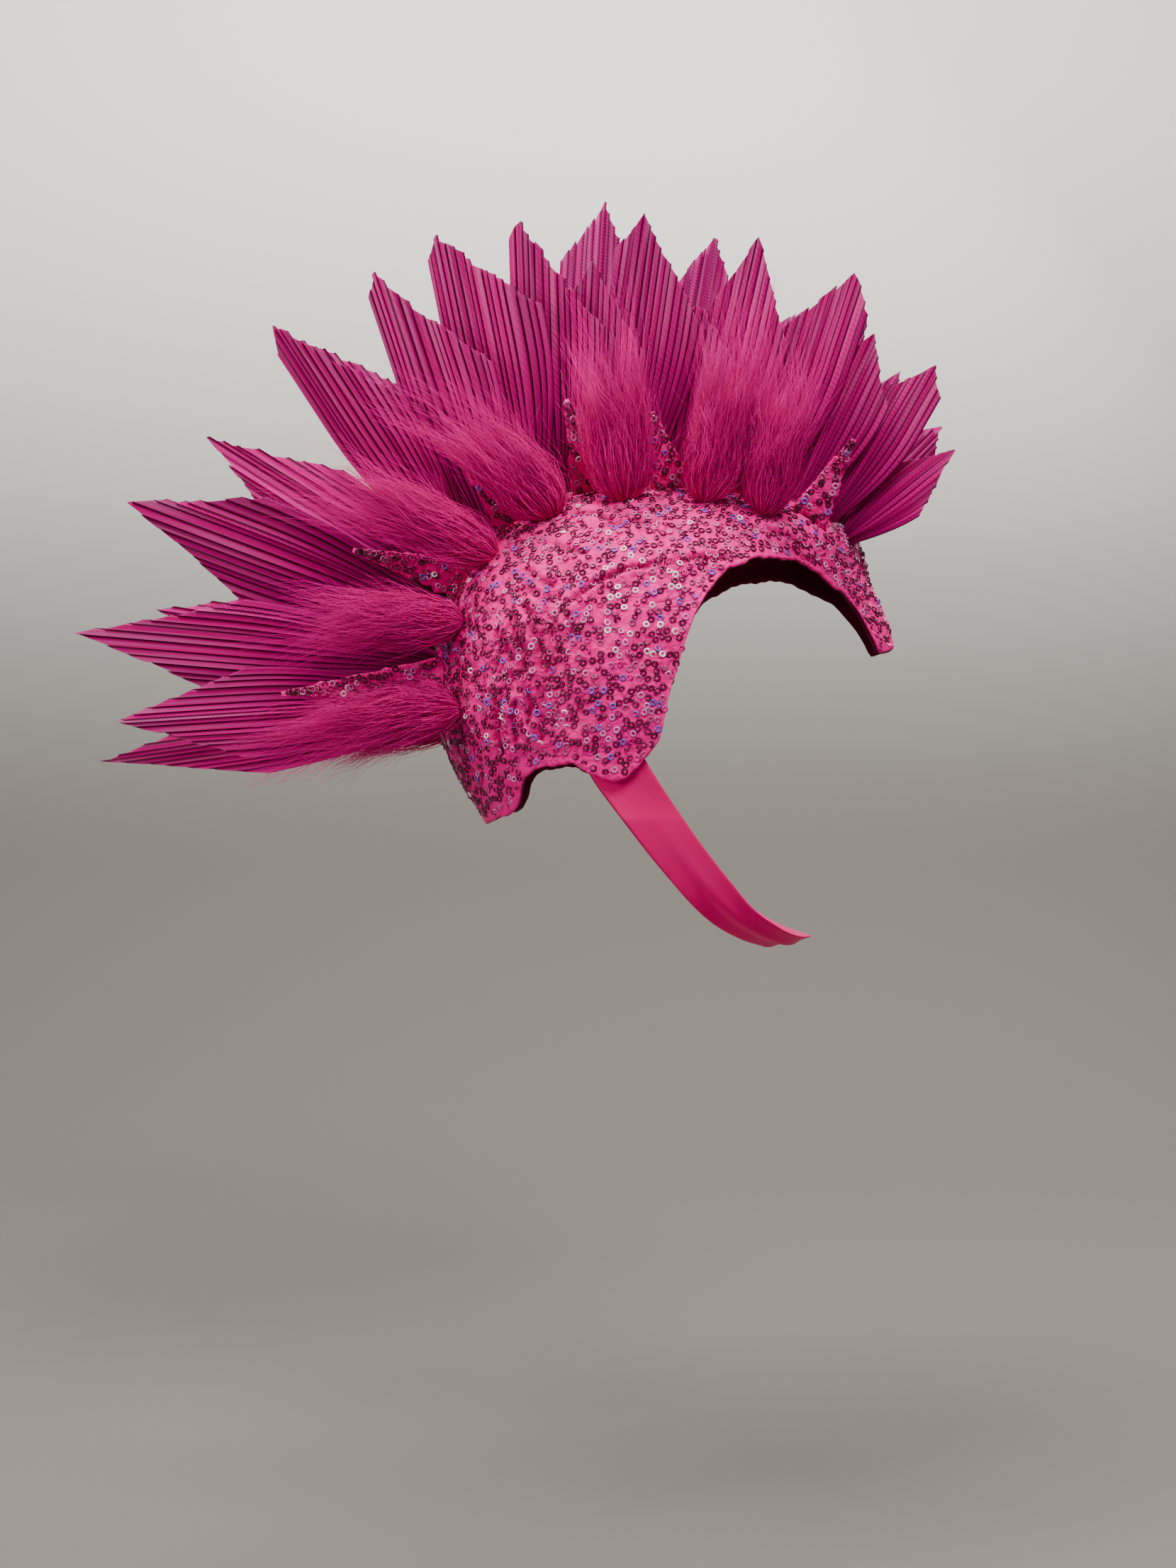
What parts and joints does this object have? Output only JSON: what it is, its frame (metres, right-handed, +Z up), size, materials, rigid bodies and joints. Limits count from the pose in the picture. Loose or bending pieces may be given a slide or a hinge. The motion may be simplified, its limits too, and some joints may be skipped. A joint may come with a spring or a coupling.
{
  "type": "sequin headpiece with pleated spear crest and chin strap",
  "caption": "Worn stage headpiece: sequinned cap with a curled front peak and ear pieces, a fan crest of pleated spears in two rows, narrow spikes, fluffy tufts and a chin strap.",
  "frame": {"origin": "inside top of the crown, where the headpiece sits on a head", "axes": "+X to the face, +Y to the wearer's left, +Z up"},
  "size_m": [0.4405, 0.154, 0.3858],
  "materials": {
    "sequinned_satin": "hot pink stretch satin strewn with small iridescent ring sequins",
    "strap_satin": "plain hot pink stretch satin",
    "pleated_leaf": "finely pleated, dyed magenta, soft sheen along the pleats",
    "fluff": "dyed fluffy strands, matt"
  },
  "bodies": {
    "root": {"cap": "sequinned_satin", "chin_strap": "strap_satin", "spear_right_01": "pleated_leaf", "spear_right_02": "pleated_leaf", "spear_right_03": "pleated_leaf", "spear_right_04": "pleated_leaf", "spear_right_05": "pleated_leaf", "spear_right_06": "pleated_leaf", "spear_right_07": "pleated_leaf", "spear_right_08": "pleated_leaf", "spear_right_09": "pleated_leaf", "spear_right_10": "pleated_leaf", "spear_right_11": "pleated_leaf", "spear_right_12": "pleated_leaf", "spear_right_13": "pleated_leaf", "spear_right_14": "pleated_leaf", "spear_right_15": "pleated_leaf", "spear_left_01": "pleated_leaf", "spear_left_02": "pleated_leaf", "spear_left_03": "pleated_leaf", "spear_left_04": "pleated_leaf", "spear_left_05": "pleated_leaf", "spear_left_06": "pleated_leaf", "spear_left_07": "pleated_leaf", "spear_left_08": "pleated_leaf", "spear_left_09": "pleated_leaf", "spear_left_10": "pleated_leaf", "spear_left_11": "pleated_leaf", "spear_left_12": "pleated_leaf", "spike_right_1": "sequinned_satin", "spike_right_2": "sequinned_satin", "spike_right_3": "sequinned_satin", "spike_right_4": "sequinned_satin", "spike_right_5": "sequinned_satin", "spike_right_6": "sequinned_satin", "spike_right_7": "sequinned_satin", "spike_left_1": "sequinned_satin", "spike_left_2": "sequinned_satin", "spike_left_3": "sequinned_satin", "spike_left_4": "sequinned_satin", "spike_left_5": "sequinned_satin", "spike_left_6": "sequinned_satin", "spike_left_7": "sequinned_satin", "tuft_right_1": "fluff", "tuft_right_2": "fluff", "tuft_right_3": "fluff", "tuft_right_4": "fluff", "tuft_right_5": "fluff", "tuft_right_6": "fluff", "tuft_right_7": "fluff", "tuft_left_1": "fluff", "tuft_left_2": "fluff", "tuft_left_3": "fluff", "tuft_left_4": "fluff", "tuft_left_5": "fluff", "tuft_left_6": "fluff", "tuft_left_7": "fluff"}
  },
  "joints": []
}
